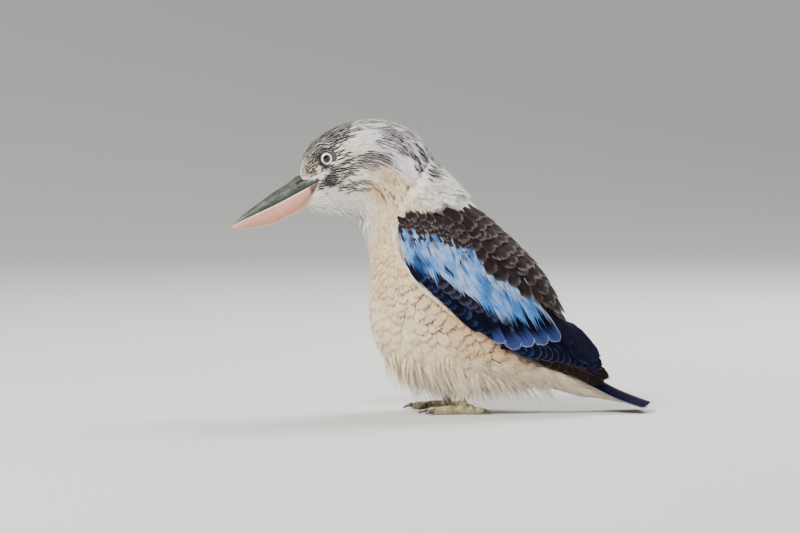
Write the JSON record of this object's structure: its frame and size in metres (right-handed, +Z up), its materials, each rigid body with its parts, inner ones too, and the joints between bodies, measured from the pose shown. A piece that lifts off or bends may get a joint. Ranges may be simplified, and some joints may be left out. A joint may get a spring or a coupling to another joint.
{
  "type": "blue-winged kookaburra",
  "caption": "Standing kookaburra with folded wings, a heavy two-toned bill, a pale streaked head, sky-blue wing patches and a short dark blue tail.",
  "frame": {"origin": "on the floor under the feet, at the middle of the bird's length and width", "axes": "+Z up, -Y the way the bird faces, +Y towards its tail, +X towards its left side"},
  "size_m": [0.1026, 0.3365, 0.2342],
  "materials": {
    "plumage": "small soft feathers, white and buff with dark streaks and fine bars",
    "wing_feathers": "smooth firm feathers, brown-grey, sky blue and dark blue",
    "tail_feathers": "smooth firm feathers, dark blue with white tips",
    "bill_dark": "dark grey-green horn with fine pale scratches, satin",
    "bill_pale": "pinkish cream horn with a pale edge, satin",
    "eye": "pale iris round a black pupil, wet and glossy",
    "leg_skin": "scaly olive-grey skin",
    "claw": "dark grey horn, satin"
  },
  "bodies": {
    "root": {"head": "plumage", "neck": "plumage", "trunk": "plumage", "thigh_left": "plumage", "thigh_right": "plumage", "wing_left": "wing_feathers", "wing_right": "wing_feathers", "tail": "tail_feathers", "bill_upper": "bill_dark", "bill_lower": "bill_pale", "eye_left": "eye", "eye_right": "eye", "shank_left": "leg_skin", "shank_right": "leg_skin", "toe_middle_left": "leg_skin", "toe_outer_left": "leg_skin", "toe_inner_left": "leg_skin", "toe_hind_left": "leg_skin", "toe_middle_right": "leg_skin", "toe_outer_right": "leg_skin", "toe_inner_right": "leg_skin", "toe_hind_right": "leg_skin", "claw_middle_left": "claw", "claw_outer_left": "claw", "claw_inner_left": "claw", "claw_hind_left": "claw", "claw_middle_right": "claw", "claw_outer_right": "claw", "claw_inner_right": "claw", "claw_hind_right": "claw"}
  },
  "joints": []
}
